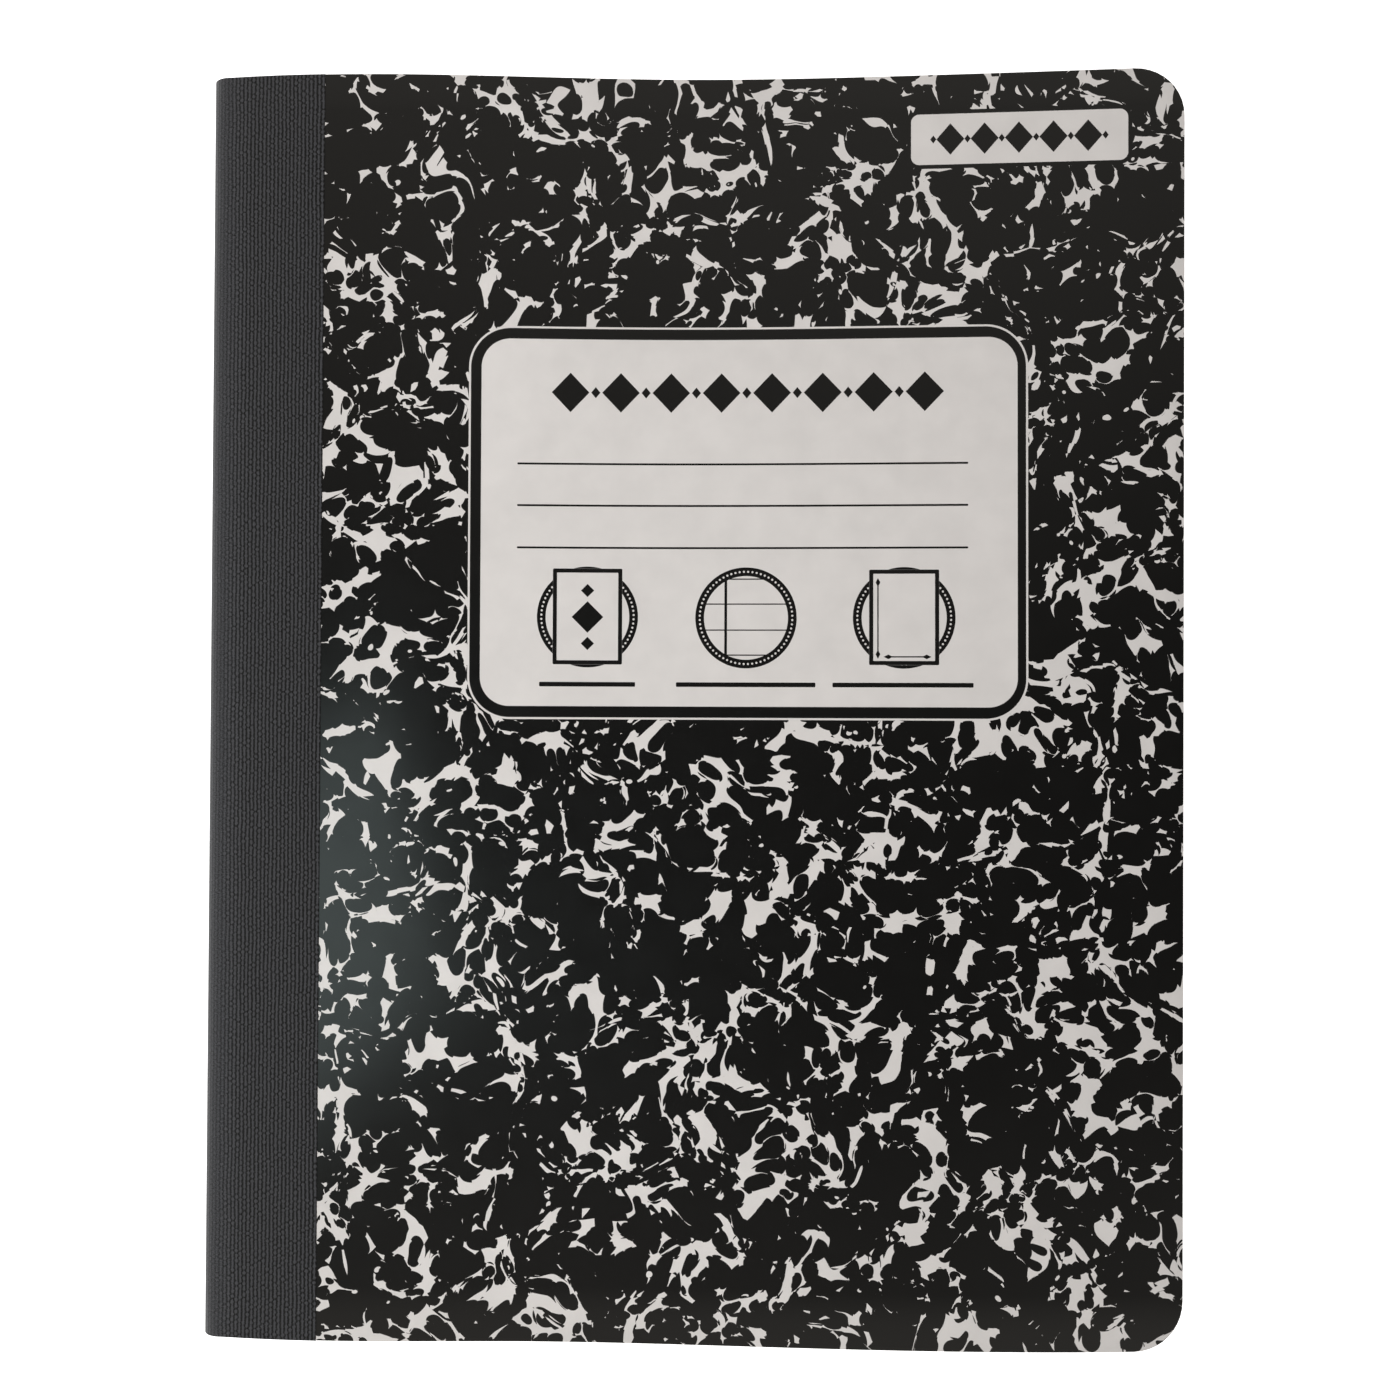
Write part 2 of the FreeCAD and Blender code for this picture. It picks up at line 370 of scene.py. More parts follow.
def shards(tree, place, drift, size, usual, change, patch):
    """Distance from small chips that cracks keep apart."""
    border = add(
        tree, "TexVoronoi", inputs={"Vector": drift, "Scale": 1 / size}, voronoi_dimensions="2D",
        feature="DISTANCE_TO_EDGE",
    )
    crack = add(tree, "Math", border, -size, SHARD_CRACK, operation="MULTIPLY_ADD")
    shard = chips(tree, place, drift, size, usual, change, patch)
    return add(tree, "Math", shard, crack, operation="MAXIMUM")


def veins(tree, place, drift, size, width, change, patch):
    """Distance from veins along the borders of large cells, which swell, thin out and stop."""
    border = add(
        tree, "TexVoronoi", inputs={"Vector": drift, "Scale": 1 / size}, voronoi_dimensions="2D",
        feature="DISTANCE_TO_EDGE",
    )
    swell = add(
        tree, "TexNoise", inputs={"Vector": place, "Scale": 1 / patch, "Detail": 1.0},
        noise_dimensions="2D",
    )
    swell = add(tree, "Math", swell, -change, change / 2 - width, operation="MULTIPLY_ADD")
    return add(tree, "Math", border, size, swell, operation="MULTIPLY_ADD")


def marbling(tree, place):
    """Distance from the white of the marbling."""
    drift = place
    for size, reach in WARPS:
        swirl = add(
            tree, "TexNoise", inputs={"Vector": place, "Scale": 1 / size, "Detail": 1.0},
            noise_dimensions="2D", out=1,
        )
        swirl = add(tree, "VectorMath", swirl, (0.5, 0.5, 0.5), operation="SUBTRACT")
        swirl = add(tree, "VectorMath", swirl, (reach, reach, 0), operation="MULTIPLY")
        drift = add(tree, "VectorMath", drift, swirl, operation="ADD")
    # The skin of colour tears into bits, which slip against each other
    size, reach = TEARS
    bit = add(
        tree, "TexVoronoi", inputs={"Vector": drift, "Scale": 1 / size}, voronoi_dimensions="2D", out=1
    )
    slip = add(tree, "VectorMath", bit, (0.5, 0.5, 0.5), operation="SUBTRACT")
    slip = add(tree, "VectorMath", slip, (reach, reach, 0), operation="MULTIPLY")
    torn = add(tree, "VectorMath", drift, slip, operation="ADD")
    white = chips(tree, place, torn, *CHIPS)
    white = join_edges(tree, [white, shards(tree, place, drift, *SHARDS)])
    for row in CHIP_BITES:
        white = cut_edge(tree, white, drops(tree, torn, *row))
    vein = cut_edge(tree, veins(tree, place, torn, *VEINS), drops(tree, drift, *VEIN_BITES))
    speck = cut_edge(tree, drops(tree, drift, *SPECKS), drops(tree, drift, *SPECK_BITES))
    return add(tree, "Math", join_edges(tree, [white, vein, speck]), HAIRLINE, operation="ADD")


def plate_ink(tree, place):
    """Distance from the ornament on the small plate: a row of lozenges, large and small by turns."""
    large = lozenge_row(tree, place, PLATE[0], 6.6, 5, (2.7, 3.1))
    small = lozenge_row(tree, place, PLATE[0], 6.6, 6, (0.6, 0.8))
    return join_edges(tree, large + small)


def printed_card(name, colours, labelled, shift):
    """Solid bleached card, offset printed in black and coated: a smooth satin gloss over ink and white
    alike, with the paper's faint mottle in the white."""
    material, tree = new_material(name)
    here = page_place(tree)
    place = page_place(tree, shift)
    white = inked(tree, marbling(tree, place))
    if labelled:
        frame_edge = box_edge(tree, here, *LABEL_FRAME)
        field_edge = box_edge(tree, here, *LABEL_FIELD)
        outline = band_edge(tree, frame_edge, -LABEL_OUTLINE / 2, LABEL_OUTLINE / 2)
        field = cut_edge(tree, field_edge, label_ink(tree, here))
        label = inked(tree, join_edges(tree, [outline, field]))
        inside = inked(tree, frame_edge)
        white = add(tree, "Mix", inside, inputs={2: white, 3: label})
        plate_edge = box_edge(tree, here, *PLATE)
        plate = inked(tree, cut_edge(tree, plate_edge, plate_ink(tree, here)))
        plate_edge = add(tree, "Math", plate_edge, PLATE_MARGIN, operation="SUBTRACT")
        white = add(tree, "Mix", inked(tree, plate_edge), inputs={2: white, 3: plate})
    colour = add(
        tree, "Mix", white, data_type="RGBA",
        inputs={6: (*colours.ink, 1), 7: (*colours.print_white, 1)}, out=2,
    )
    object_place = add(tree, "TexCoord", out=3)
    mottle = add(
        tree, "TexNoise", inputs={"Vector": object_place, "Scale": 1 / (6 * MM), "Detail": 4.0},
    )
    tint = add(tree, "MapRange", mottle, 0.3, 0.7, 0.93, 1.0)
    colour = add(
        tree, "Mix", 1.0, inputs={6: colour, 7: tint}, data_type="RGBA", blend_type="MULTIPLY", out=2
    )
    # Orange peel of the coating, waves of 1.5 mm and 1 micrometre high
    peel = add(tree, "TexNoise", inputs={"Vector": object_place, "Scale": 1 / (1.5 * MM), "Detail": 2.0})
    rough = add(tree, "MapRange", mottle, 0.3, 0.7, 0.2, 0.24)
    finish(tree, peel, 0.002 * MM, Base_Color=colour, Roughness=rough, IOR=1.5)
    return material


def bare_card(colours):
    """Bleached board without a coating, as rolled and cut: matt, off-white, with a short fibre grain."""
    material, tree = new_material("Bleached_board_uncoated")
    here = add(tree, "TexCoord", out=3)
    fibre = add(tree, "TexNoise", inputs={"Vector": here, "Scale": 1 / (0.6 * MM), "Detail": 6.0})
    cloud = add(tree, "TexNoise", inputs={"Vector": here, "Scale": 1 / (9 * MM), "Detail": 3.0})
    both = add(tree, "Math", fibre, cloud, operation="ADD")
    tint = add(tree, "MapRange", both, 0.7, 1.3, 0.9, 1.0)
    colour = add(
        tree, "Mix", 1.0, inputs={6: (*colours.card, 1), 7: tint},
        data_type="RGBA", blend_type="MULTIPLY", out=2,
    )
    finish(tree, fibre, 0.01 * MM, Base_Color=colour, Roughness=0.85)
    return material


def book_cloth(colours, sizes):
    """Cotton cloth, plain woven, dyed, filled with starch and calendered: fine ribs along the spine with
    the weft's crossings as staggered beads, dull, with painted shade in the grooves between them. Round
    the fold it is rubbed smooth, and paler there from wear and a painted sheen."""
    material, tree = new_material("Starch_filled_book_cloth")
    strip = add(tree, "UVMap", uv_map="Cloth")
    # The threads wander a little
    drift = add(
        tree, "TexNoise", inputs={"Vector": strip, "Scale": 1 / (7 * MM), "Detail": 2.0}, out=1
    )
    drift = add(tree, "VectorMath", drift, (0.5, 0.5, 0.5), operation="SUBTRACT")
    drift = add(tree, "VectorMath", drift, (0.5 * MM, 2.0 * MM, 0), operation="MULTIPLY")
    woven = add(tree, "VectorMath", strip, drift, operation="ADD")
    count = add(
        tree, "VectorMath", woven, (1 / sizes.rib_pitch, 1 / sizes.bead_pitch, 0), operation="MULTIPLY"
    )
    apart = add(tree, "SeparateXYZ", count).node
    rib = add(tree, "Math", apart.outputs[0], 2 * math.pi, operation="MULTIPLY")
    rib = add(tree, "Math", rib, operation="COSINE")
    # Every other rib has its beads half a pitch further on
    row = add(tree, "Math", apart.outputs[0], 0.5, operation="ADD")
    row = add(tree, "Math", row, operation="FLOOR")
    row = add(tree, "Math", row, 0.5, operation="MULTIPLY")
    bead = add(tree, "Math", apart.outputs[1], row, operation="ADD")
    bead = add(tree, "Math", bead, 2 * math.pi, operation="MULTIPLY")
    bead = add(tree, "Math", bead, operation="COSINE")
    patch = add(tree, "TexNoise", inputs={"Vector": woven, "Scale": 1 / (1.3 * MM), "Detail": 2.0})
    weight = add(tree, "MapRange", patch, 0.35, 0.65, -0.3, 1.3)
    bead = add(tree, "Math", bead, weight, operation="MULTIPLY")
    relief = add(tree, "Math", rib, 1.0, bead, operation="MULTIPLY_ADD")
    # Rubbed round the fold, where the threads lie flat; the same mask also paints a sheen there
    fold = add(tree, "SeparateXYZ", strip)
    fold = add(tree, "Math", fold, math.pi / 2 * TAPE_RADIUS, operation="ADD")
    fold = add(tree, "Math", fold, operation="ABSOLUTE")
    fold_wear_and_sheen = add(tree, "MapRange", fold, 10.5 * MM, 5.5 * MM, 0.0, 1.0)
    crisp = add(tree, "MapRange", fold_wear_and_sheen, 0.0, 1.0, 1.0, 0.2)
    relief = add(tree, "Math", relief, crisp, operation="MULTIPLY")
    relief = add(tree, "MapRange", relief, -1.7, 1.7, 0.0, 1.0)
    lint = add(tree, "TexNoise", inputs={"Vector": strip, "Scale": 1 / (0.25 * MM), "Detail": 3.0})
    grain = add(tree, "Math", lint, 0.8, relief, operation="MULTIPLY_ADD")
    grain = add(tree, "MapRange", grain, 0.72, 1.08, 0.0, 1.0)
    # Painted shade: the grooves between ribs and beads take the near-black groove colour
    colour = add(
        tree, "Mix", grain, data_type="RGBA",
        inputs={6: (*colours.cloth_groove_shade, 1), 7: (*colours.cloth, 1)}, out=2,
    )
    # Paler round the fold: partly wear, partly a painted sheen
    tint = add(tree, "MapRange", fold_wear_and_sheen, 0.0, 1.0, 1.0, 1.35)
    colour = add(
        tree, "Mix", 1.0, inputs={6: colour, 7: tint}, data_type="RGBA", blend_type="MULTIPLY", out=2
    )
    finish(
        tree, relief, 0.3 * MM, Base_Color=colour, Roughness=0.75,
        Sheen_Weight=0.15, Sheen_Roughness=0.5, Sheen_Tint=(*srgb("D8D8D8"), 1),
    )
    return material


def writing_paper(colours, sizes, trimmed):
    """Uncoated wood-free writing paper, 56 g/m2, with pale blue rules and a red margin line printed on
    both faces: matt, warm white, slightly cloudy. Trimmed in a block its edges are a little darker, in
    layers, and the ends of the printed lines show as faint marks."""
    material, tree = new_material("Writing_paper_trimmed_edge" if trimmed else "Writing_paper_ruled")
    here = page_place(tree)
    apart = add(tree, "SeparateXYZ", here).node
    pitch = sizes.rule_pitch / MM
    row = add(tree, "Math", apart.outputs[1], pitch, operation="DIVIDE")
    row = add(tree, "Math", row, operation="FRACT")
    row = add(tree, "Math", row, 0.5, operation="SUBTRACT")
    row = add(tree, "Math", row, pitch, operation="MULTIPLY")
    rules = add(tree, "Math", row, operation="ABSOLUTE")
    rules = add(tree, "MapRange", rules, 0.16, 0.1, 0.0, 1.0)
    # No rules in the head margin
    head = add(tree, "Math", apart.outputs[1], HEAD_Y / MM - 30, operation="LESS_THAN")
    rules = add(tree, "Math", rules, head, operation="MULTIPLY")
    margin = band_edge(tree, apart.outputs[0], (HINGE_X + sizes.margin_width) / MM, 0.1)
    margin = add(tree, "MapRange", margin, 0.06, 0.0, 0.0, 1.0)
    solid = add(tree, "TexCoord", out=3)
    cloud = add(tree, "TexNoise", inputs={"Vector": solid, "Scale": 1 / (5 * MM), "Detail": 5.0})
    tint = add(tree, "MapRange", cloud, 0.3, 0.7, 0.985, 1.0)
    if trimmed:
        layers = add(tree, "VectorMath", solid, (0.02, 0.02, 1.0), operation="MULTIPLY")
        layers = add(
            tree, "TexNoise", inputs={"Vector": layers, "Scale": 1 / (0.5 * MM), "Detail": 3.0}
        )
        tint = add(tree, "MapRange", layers, 0.3, 0.7, 0.72, 1.0)
        rules = add(tree, "Math", rules, 0.2, operation="MULTIPLY")
        margin = add(tree, "Math", margin, 0.2, operation="MULTIPLY")
    colour = add(
        tree, "Mix", rules, data_type="RGBA",
        inputs={6: (*colours.paper, 1), 7: (*colours.rule, 1)}, out=2,
    )
    colour = add(
        tree, "Mix", margin, data_type="RGBA", inputs={6: colour, 7: (*colours.margin, 1)}, out=2
    )
    colour = add(
        tree, "Mix", 1.0, inputs={6: colour, 7: tint}, data_type="RGBA", blend_type="MULTIPLY", out=2
    )
    fibre = add(tree, "TexNoise", inputs={"Vector": solid, "Scale": 1 / (0.4 * MM), "Detail": 4.0})
    finish(tree, fibre, 0.004 * MM, Base_Color=colour, Roughness=0.9)
    return material


def cotton_thread(colours):
    """Twisted cotton sewing thread: matt, unbleached, with its plies winding round it."""
    material, tree = new_material("Twisted_cotton_thread")
    here = add(tree, "TexCoord", out=3)
    twist = add(tree, "VectorMath", here, (1.0, 0.45, 1.0), operation="MULTIPLY")
    plies = add(
        tree, "TexWave", inputs={"Vector": twist, "Scale": 1 / (1.6 * MM), "Distortion": 1.5},
        wave_type="BANDS", bands_direction="DIAGONAL",
    )
    tint = add(tree, "MapRange", plies, 0.0, 1.0, 0.75, 1.0)
    colour = add(
        tree, "Mix", 1.0, inputs={6: (*colours.thread, 1), 7: tint},
        data_type="RGBA", blend_type="MULTIPLY", out=2,
    )
    finish(tree, plies, 0.03 * MM, Base_Color=colour, Roughness=0.85)
    return material


# Shapes

def top_heights(on_line):
    """Heights of the front cover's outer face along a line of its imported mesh, by distance along it."""
    found = {}
    mesh = frame["nodes"]["front_cover"].data
    for face in mesh.polygons:
        if face.normal.z > 0.5:
            for at in (mesh.vertices[index].co for index in face.vertices):
                key = on_line(at)
                if key is not None:
                    found[round(key, 6)] = at.z
    return found


def end_profile(side):
    """Places in X, and the cover's rise above its hinge line there, at the head (1) or the tail (-1)."""
    base = MID_Z + CARD_RADIUS + PRESS
    heights = top_heights(lambda at: at.x if abs(at.y - side * HEAD_Y) < 1e-6 else None)
    fore = top_heights(lambda at: at.y if abs(at.x - EDGE_X) < 1e-6 else None)
    low, high = min(fore), max(fore)
    slope = (fore[high] - fore[low]) / (high - low)
    heights[EDGE_X] = (fore[high] + fore[low]) / 2 + slope * side * HEAD_Y
    rises = []
    for x, z in sorted(heights.items()):
        pressed = PRESS if x < TAPE_EDGE_X - 1e-6 else 0.0
        rises.append((x, z + pressed - base))
    return [(HINGE_X, 0.0)] + [pair for pair in rises if pair[0] > HINGE_X + 0.5 * MM]


PROFILES = {side: end_profile(side) for side in (-1, 1)}


def profile_rise(profile, x):
    """Smooth value of a profile at x, with cubic pieces between its places."""
    if x <= HINGE_X:
        return 0.0
    k = min(max(bisect.bisect_right(profile, (x, 9.0)) - 1, 0), len(profile) - 2)

    def slope(index):
        low, high = max(index - 1, 0), min(index + 1, len(profile) - 1)
        return (profile[high][1] - profile[low][1]) / (profile[high][0] - profile[low][0])

    (x0, z0), (x1, z1) = profile[k], profile[k + 1]
    span = x1 - x0
    t = (x - x0) / span
    return (
        (2 * t**3 - 3 * t**2 + 1) * z0 + (t**3 - 2 * t**2 + t) * span * slope(k)
        + (3 * t**2 - 2 * t**3) * z1 + (t**3 - t**2) * span * slope(k + 1)
    )


def cover_rise(x, y):
    """How far the closed front cover stands above its hinge line at a place."""
    share = (y + HEAD_Y) / (2 * HEAD_Y)
    return profile_rise(PROFILES[-1], x) * (1 - share) + profile_rise(PROFILES[1], x) * share


def steps(low, high, size):
    """Places between low and high, about size apart, both ends left out."""
    count = max(1, round((high - low) / size))
    return [low + (high - low) * k / count for k in range(1, count)]


def slice_mesh(bm, columns, rows):
    """Cuts a mesh along columns in X and rows in Y."""
    for places, way in ((columns, Vector((1, 0, 0))), (rows, Vector((0, 1, 0)))):
        for place in places:
            bmesh.ops.bisect_plane(
                bm, geom=bm.verts[:] + bm.edges[:] + bm.faces[:], dist=1e-7,
                plane_co=way * place, plane_no=way,
            )


def thicken(bm, move):
    """Gives an open sheet an inner face, each of its points moved by a function, and a rim between.
    Marks the faces' materials: 0 outer, 1 inner, 2 rim."""
    outer = bm.faces[:]
    for face in outer:
        face.material_index = 0
    made = bmesh.ops.extrude_face_region(bm, geom=outer, use_keep_orig=True)
    inner = {item for item in made["geom"] if isinstance(item, bmesh.types.BMFace)}
    kept = set(outer)
    for vertex in (item for item in made["geom"] if isinstance(item, bmesh.types.BMVert)):
        vertex.co = move(vertex.co)
    for face in bm.faces:
        if face in inner:
            face.material_index = 1
        elif face not in kept:
            face.material_index = 2
    bmesh.ops.recalc_face_normals(bm, faces=bm.faces)


def soften_rim(bm, softness):
    """Rounds the edges between the rim and the two faces."""
    edges = [
        e for e in bm.edges
        if len(e.link_faces) == 2 and sum(f.material_index == 2 for f in e.link_faces) == 1
    ]
    bmesh.ops.bevel(
        bm, geom=edges, offset=softness, offset_type="OFFSET", segments=2, profile=0.5,
        affect="EDGES", material=2, clamp_overlap=True,
    )


def shade(bm, angle):
    """Smooth shading, kept sharp where two faces meet at more than an angle in degrees."""
    for face in bm.faces:
        face.smooth = True
    for edge in bm.edges:
        if len(edge.link_faces) == 2 and edge.calc_face_angle(0.0) > math.radians(angle):
            edge.smooth = False


def new_object(name, bm, materials):
    """A mesh object at the origin from a bmesh, with its materials."""
    mesh = bpy.data.meshes.new(name)
    bm.to_mesh(mesh)
    bm.free()
    for material in materials:
        mesh.materials.append(material)
    piece = bpy.data.objects.new(name, mesh)
    bpy.context.collection.objects.link(piece)
    return piece


def round_corners(bm, radius, segments):
    """Rounds the two fore-edge corners of every sheet in a mesh."""
    corners = [v for v in bm.verts if v.co.x > EDGE_X - 1e-6]
    bmesh.ops.bevel(
        bm, geom=corners, offset=radius, offset_type="OFFSET", segments=segments, profile=0.5,
        affect="VERTICES", material=-1,
    )


def half_wrap(radius, depth, side, reach, corner, opening=0.0, cuts=((), ())):
    """A sheet of the cover: a quarter round the fold, spun from the spine's apex, and a run on to reach.
    Side is 1 for the front and -1 for the back, opening the angle left free at the apex, and cuts the
    further places in X and Y where its faces end."""
    bm = bmesh.new()
    start = Vector((-radius * math.cos(opening), 0, side * radius * math.sin(opening))) + FOLD
    ends = [bm.verts.new(start + Vector((0, y, 0))) for y in (-HEAD_Y, HEAD_Y)]
    spun = bmesh.ops.spin(
        bm, geom=[bm.edges.new(ends)], cent=FOLD, axis=(0, 1, 0),
        angle=side * (math.pi / 2 - opening), steps=FOLD_STEPS,
    )
    last = [item for item in spun["geom_last"] if isinstance(item, bmesh.types.BMEdge)]
    run = bmesh.ops.extrude_edge_only(bm, edges=last)
    for vertex in (item for item in run["geom"] if isinstance(item, bmesh.types.BMVert)):
        vertex.co.x = reach
    if corner:
        round_corners(bm, corner, CORNER_STEPS)
    columns = [HINGE_X + BEND_REACH * k / BEND_STEPS for k in range(1, BEND_STEPS + 1)]
    columns += steps(HINGE_X + BEND_REACH, EDGE_X, CARD_GRID[0])
    columns = [x for x in columns if x < reach - 0.5 * MM]
    if reach > TAPE_EDGE_X + MM:
        columns += [TAPE_EDGE_X, TAPE_EDGE_X + 0.05 * MM]
    slice_mesh(bm, [*columns, *cuts[0]], [*steps(-HEAD_Y, HEAD_Y, CARD_GRID[1]), *cuts[1]])
    base = MID_Z + side * radius

    def inwards(at):
        if at.x < HINGE_X - 1e-7:
            away = Vector((at.x - HINGE_X, 0, at.z - MID_Z))
            return at - away.normalized() * depth
        return at - Vector((0, 0, side * depth))

    thicken(bm, inwards)
    for vertex in bm.verts:
        at = vertex.co
        on_outer = abs(at.z - base) < 1e-7
        if on_outer and at.x > TAPE_EDGE_X + 0.01 * MM and reach > TAPE_EDGE_X + MM:
            at.z += side * PRESS
        if side > 0:
            at.z += cover_rise(at.x, at.y)
    return bm


def cloth_map(bm, name):
    """A map in metres over the cloth: along it from the front hinge line, and up the book."""
    layer = bm.loops.layers.uv.new(name)
    for face in bm.faces:
        for loop in face.loops:
            at = loop.vert.co
            if at.x >= HINGE_X - 1e-7:
                along = at.x - HINGE_X
                if at.z < MID_Z:
                    along = -along - math.pi * TAPE_RADIUS
            else:
                along = -TAPE_RADIUS * math.atan2(HINGE_X - at.x, at.z - MID_Z)
            loop[layer].uv = (along, at.y)


def bake_map(bm):
    """A map for the baked picture: the outer face fills most of the square, and the plain inner face and
    the rim lie in strips beside it."""
    layer = bm.loops.layers.uv.new("OFBake")
    tall = 2 * HEAD_Y
    for face in bm.faces:
        middle = face.calc_center_median()
        for loop in face.loops:
            at = loop.vert.co
            v = 0.005 + 0.99 * (at.y + HEAD_Y) / tall
            if at.x >= HINGE_X - 1e-7:
                u = (at.x - HINGE_X) / tall
            else:
                u = -CARD_RADIUS * math.atan2(HINGE_X - at.x, abs(at.z - MID_Z)) / tall
            u = 0.03 + 0.99 * u
            if face.material_index == 1:
                u = 0.8 + u * 0.12
            elif face.material_index == 2:
                if abs(middle.y) > HEAD_Y - 0.6 * MM or middle.x < EDGE_X - MM:
                    u, v = 0.92 + 0.02 * (middle.y > 0) + 0.01 * (at.z - middle.z) / MM, u
                else:
                    u = 0.97 + 0.01 * (at.z - middle.z) / MM
            loop[layer].uv = (u, v)


def build_card(side, printed, bare, label=None):
    """The front or back card, from the spine's apex to the fore edge, bending at its hinge line."""
    sizes = bpy.context.scene.notebook_sizes
    # The label and the small plate have faces of their own
    panels = []
    for ((x, y), (half_x, half_y), _), margin in ((LABEL_FRAME, 0.0), (PLATE, PLATE_MARGIN)):
        half_x, half_y = half_x + margin, half_y + margin
        panels.append(
            [[(x - half_x) * MM, (x + half_x) * MM], [(y - half_y) * MM, (y + half_y) * MM]]
        )
    cuts = [panels[0][axis] + panels[1][axis] for axis in (0, 1)] if label else ((), ())
    bm = half_wrap(
        CARD_RADIUS, CARD_THICKNESS - PRESS, side, EDGE_X, sizes.corner_radius,
        opening=math.asin(GROOVE / CARD_RADIUS), cuts=cuts,
    )
    soften_rim(bm, sizes.rim_softness)
    shade(bm, SHARP_ANGLE)
    bake_map(bm)
    name = "front_card" if side > 0 else "back_card"
    if label:
        for face in bm.faces:
            middle = face.calc_center_median()
            inside = any(
                all(low < at < high for at, (low, high) in zip(middle, panel)) for panel in panels
            )
            if inside and face.material_index == 0:
                face.material_index = 3
    piece = new_object(name, bm, [printed, bare, bare] + [label] * bool(label))
    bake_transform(piece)
    if side > 0:
        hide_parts("front_cover", "cover_spine")
    else:
        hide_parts("back_cover")


def build_cloth(side, cloth):
    """The front or back half of the spine cloth, from the spine's apex to its cut edge on the cover."""
    sizes = bpy.context.scene.notebook_sizes
    bm = half_wrap(TAPE_RADIUS, TAPE_RADIUS - CARD_RADIUS, side, TAPE_EDGE_X, 0.0)
    soften_rim(bm, sizes.rim_softness)
    shade(bm, SHARP_ANGLE)
    cloth_map(bm, "Cloth")
    piece = new_object("front_cloth" if side > 0 else "back_cloth", bm, [cloth])
    for polygon in piece.data.polygons:
        polygon.material_index = 0
    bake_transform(piece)
    if side > 0:
        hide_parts("front_tape", "spine_tape")
    else:
        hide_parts("back_tape")


def sheet_pattern(bm, corner):
    """One folded sheet round a fold of 1 mm radius, with its inner face at half that radius."""
    ends = [bm.verts.new((HINGE_X, y, -MM)) for y in (-HEAD_Y, HEAD_Y)]
    first = bm.edges.new(ends)
    spun = bmesh.ops.spin(
        bm, geom=[first], cent=(HINGE_X, 0, 0), axis=(0, 1, 0), angle=math.pi,
        steps=SHEET_FOLD_STEPS,
    )
    last = [item for item in spun["geom_last"] if isinstance(item, bmesh.types.BMEdge)]
    for edge in (first, last[0]):
        run = bmesh.ops.extrude_edge_only(bm, edges=[edge])
        for vertex in (item for item in run["geom"] if isinstance(item, bmesh.types.BMVert)):
            vertex.co.x = EDGE_X
    round_corners(bm, corner, SHEET_CORNER_STEPS)
    slice_mesh(bm, steps(HINGE_X, EDGE_X, SHEET_GRID[0]), steps(-HEAD_Y, HEAD_Y, SHEET_GRID[1]))

    def inwards(at):
        x = HINGE_X + (at.x - HINGE_X) * 0.5 if at.x < HINGE_X else at.x
        return Vector((x, at.y, at.z * 0.5))

    thicken(bm, inwards)


def build_leaves(paper, trimmed):
    """All leaves as nested folded sheets that fan out towards the fore edge under the cover."""
    sizes = bpy.context.scene.notebook_sizes
    rng = random.Random(7)
    sheets = sizes.sheet_count
    pitch = LEAF_RADIUS / sheets
    gaps = [0.35 + rng.random() ** 2 * 1.6 for _ in range(2 * sheets + 1)]
    total = sum(gaps)
    share, walked = [], 0.0
    for gap in gaps[:-1]:
        walked += gap
        share.append(walked / total)
    trims = [(rng.uniform(-0.14, 0.0) * MM, rng.uniform(-0.05, 0.05) * MM) for _ in share]
    bm = bmesh.new()
    sheet_pattern(bm, sizes.corner_radius)
    pattern = bm.verts[:] + bm.edges[:] + bm.faces[:]
    rises = {}
    for k in range(sheets):
        outer = (k + 1) * pitch - 0.1 * (pitch - sizes.paper_thickness)
        inner = outer - sizes.paper_thickness
        copy = bmesh.ops.duplicate(bm, geom=pattern)
        for vertex in (item for item in copy["geom"] if isinstance(item, bmesh.types.BMVert)):
            at = vertex.co
            reach = math.hypot(min(at.x - HINGE_X, 0.0), at.z)
            radius = outer if reach > 0.75 * MM else inner
            if at.x < HINGE_X - 1e-7:
                at.x = HINGE_X + (at.x - HINGE_X) * radius / reach
                at.z = MID_Z + at.z * radius / reach
                continue
            up = at.z > 0
            leaf = sheets + k if up else sheets - 1 - k
            key = (round(at.x, 6), round(at.y, 6))
            if key not in rises:
                rises[key] = cover_rise(*key)
            at.z = MID_Z + (radius if up else -radius) + share[leaf] * rises[key]
            along, across = trims[leaf]
            outward = (at.x - HINGE_X) / (EDGE_X - HINGE_X)
            at.x += along * outward
            at.y += across * outward
    bmesh.ops.delete(bm, geom=pattern, context="VERTS")
    shade(bm, SHARP_ANGLE)
    piece = new_object("leaves", bm, [paper, paper, trimmed])
    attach(piece, "book_block")
    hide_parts("page_block")


class NOTEBOOK_OT_cards(bpy.types.Operator):
    """Builds the printed front and back cards"""

    bl_idname = "notebook.cards"
    bl_label = "Cover cards"

    def execute(self, context):
        colours = context.scene.notebook_colours
        bare = bare_card(colours)
        label = printed_card("Coated_card_label", colours, True, FRONT_SHIFT)
        front = printed_card("Coated_card_marbled_front", colours, False, FRONT_SHIFT)
        back = printed_card("Coated_card_marbled_back", colours, False, BACK_SHIFT)
        build_card(1, front, bare, label)
        build_card(-1, back, bare)
        return {"FINISHED"}


class NOTEBOOK_OT_cloth(bpy.types.Operator):
    """Builds the cloth over the spine"""

    bl_idname = "notebook.cloth"
    bl_label = "Spine cloth"

    def execute(self, context):
        cloth = book_cloth(context.scene.notebook_colours, context.scene.notebook_sizes)
        build_cloth(1, cloth)
        build_cloth(-1, cloth)
        return {"FINISHED"}


